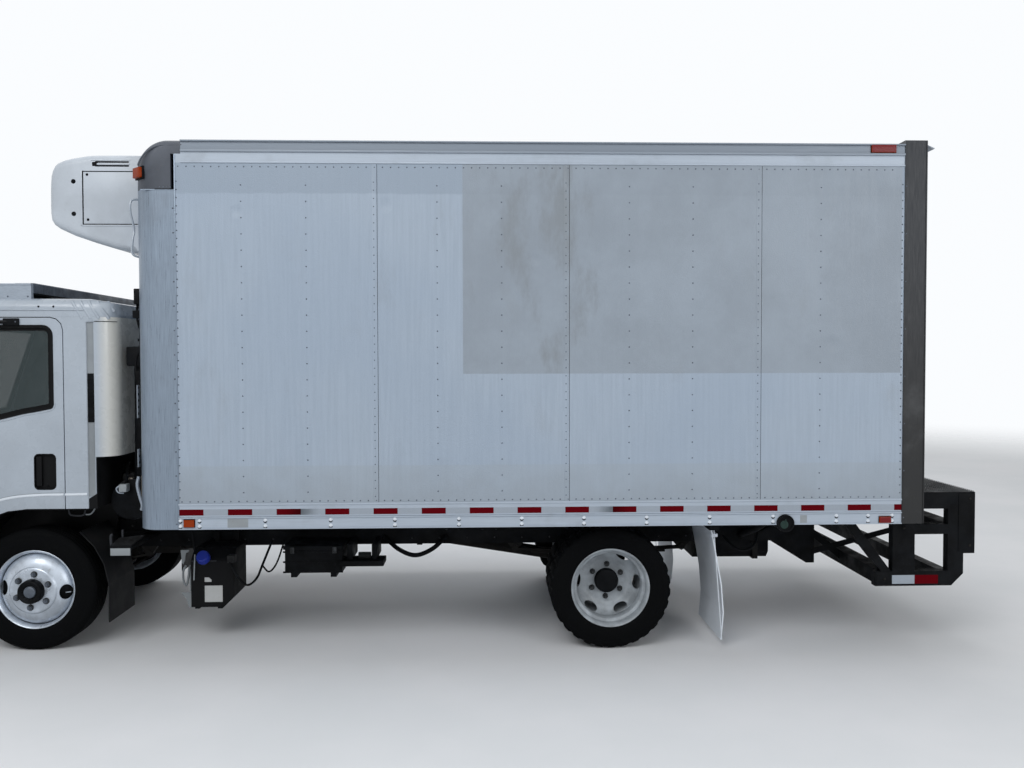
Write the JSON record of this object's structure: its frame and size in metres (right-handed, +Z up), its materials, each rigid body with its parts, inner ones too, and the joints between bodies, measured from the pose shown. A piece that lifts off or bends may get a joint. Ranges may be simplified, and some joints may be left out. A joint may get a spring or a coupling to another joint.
{
  "type": "refrigerated truck",
  "caption": "Cab-over refrigerated box truck with a nose-mounted cooling unit, tilting cab, opening doors, steered front wheels and a stepped rear platform.",
  "frame": {"origin": "on the ground at the middle of the truck's length and width", "axes": "+X to the rear, +Y to the truck's right, +Z up"},
  "size_m": [7.454, 2.84, 3.316],
  "materials": {
    "box_white": "satin",
    "unit_white": "satin",
    "cab_white": "gloss",
    "rail_grey": "satin",
    "chassis_black": "satin",
    "spring_steel": "matt",
    "bare_steel": "satin",
    "cast_metal": "matt",
    "black_plastic": "matt",
    "white_flap": "matt",
    "bare_aluminium": "satin",
    "dark_grey": "satin",
    "stainless": "satin",
    "amber_lens": "gloss",
    "glass": "gloss",
    "seat_cloth": "matt",
    "dash_grey": "matt",
    "lamp_glass": "gloss",
    "wheel_silver": "satin",
    "wheel_white": "satin",
    "tyre": "matt"
  },
  "bodies": {
    "chassis": {"frame_rails": "chassis_black", "front_bumper": "cab_white", "front_axle": "chassis_black", "leaf_springs": "spring_steel", "rear_axle": "chassis_black", "propshaft": "spring_steel", "engine_block": "cast_metal", "radiator": "cast_metal", "def_tank": "black_plastic", "battery_box": "chassis_black", "fuel_tank": "chassis_black", "exhaust": "bare_steel", "mudguards": "black_plastic", "mudflaps": "white_flap", "box_floor": "rail_grey", "box_wall_left": "box_white", "box_wall_right": "box_white", "box_front_wall": "box_white", "corner_posts": "bare_aluminium", "nose_cap": "dark_grey", "box_roof": "box_white", "top_rails": "rail_grey", "rear_frame": "stainless", "rear_door": "box_white", "rear_platform": "chassis_black", "marker_lamps": "amber_lens", "reefer_unit": "unit_white", "reefer_grille": "black_plastic"},
    "cab": {"cab_floor": "cab_white", "cab_front": "cab_white", "cab_rear": "cab_white", "cab_roof": "cab_white", "cab_glass": "glass", "seats": "seat_cloth", "dashboard": "dash_grey", "headlamps": "lamp_glass", "roof_deflector": "bare_aluminium"},
    "door_left": {"door_left": "cab_white", "door_glass_left": "glass", "mirror_left": "black_plastic"},
    "knuckle_left": {"knuckle_left": "chassis_black"},
    "front_wheel_left": {"front_rim_left": "wheel_silver", "front_tyre_left": "tyre"},
    "rear_wheels_left": {"rear_rims_left": "wheel_white", "rear_tyres_left": "tyre"},
    "door_right": {"door_right": "cab_white", "door_glass_right": "glass", "mirror_right": "black_plastic"},
    "knuckle_right": {"knuckle_right": "chassis_black"},
    "front_wheel_right": {"front_rim_right": "wheel_silver", "front_tyre_right": "tyre"},
    "rear_wheels_right": {"rear_rims_right": "wheel_white", "rear_tyres_right": "tyre"},
    "tie_rod": {"tie_rod": "spring_steel"}
  },
  "joints": [
    {"name": "cab_tilt", "type": "hinge", "parent": "chassis", "child": "cab", "pos_m": [-3.548, 0, 0.64], "axis": [0, -1, 0], "range_deg": [0, 45]},
    {"name": "door_left_hinge", "type": "hinge", "parent": "cab", "child": "door_left", "pos_m": [-3.406, -1.014, 1.29], "axis": [0, 0, -1], "range_deg": [0, 70]},
    {"name": "door_right_hinge", "type": "hinge", "parent": "cab", "child": "door_right", "pos_m": [-3.406, 1.014, 1.29], "axis": [0, 0, 1], "range_deg": [0, 70]},
    {"name": "steer_left", "type": "hinge", "parent": "chassis", "child": "knuckle_left", "pos_m": [-2.498, -0.712, 0.403], "axis": [0, 0, 1], "range_deg": [-38, 38]},
    {"name": "front_wheel_left_spin", "type": "hinge", "parent": "knuckle_left", "child": "front_wheel_left", "pos_m": [-2.498, -0.8235, 0.403], "axis": [0, 1, 0], "continuous": true},
    {"name": "rear_wheels_left_spin", "type": "hinge", "parent": "chassis", "child": "rear_wheels_left", "pos_m": [1.312, -0.8095, 0.403], "axis": [0, 1, 0], "continuous": true},
    {"name": "steer_right", "type": "hinge", "parent": "chassis", "child": "knuckle_right", "pos_m": [-2.498, 0.712, 0.403], "axis": [0, 0, 1], "range_deg": [-38, 38]},
    {"name": "front_wheel_right_spin", "type": "hinge", "parent": "knuckle_right", "child": "front_wheel_right", "pos_m": [-2.498, 0.8235, 0.403], "axis": [0, 1, 0], "continuous": true},
    {"name": "rear_wheels_right_spin", "type": "hinge", "parent": "chassis", "child": "rear_wheels_right", "pos_m": [1.312, 0.8095, 0.403], "axis": [0, 1, 0], "continuous": true},
    {"name": "tie_rod_pivot", "type": "hinge", "parent": "knuckle_left", "child": "tie_rod", "pos_m": [-2.348, -0.712, 0.271], "axis": [0, 0, 1], "range_deg": [-38, 38]}
  ],
  "couplings": [
    {"joint": "steer_right", "follows": "steer_left", "ratio": 1},
    {"joint": "tie_rod_pivot", "follows": "steer_left", "ratio": -1}
  ]
}
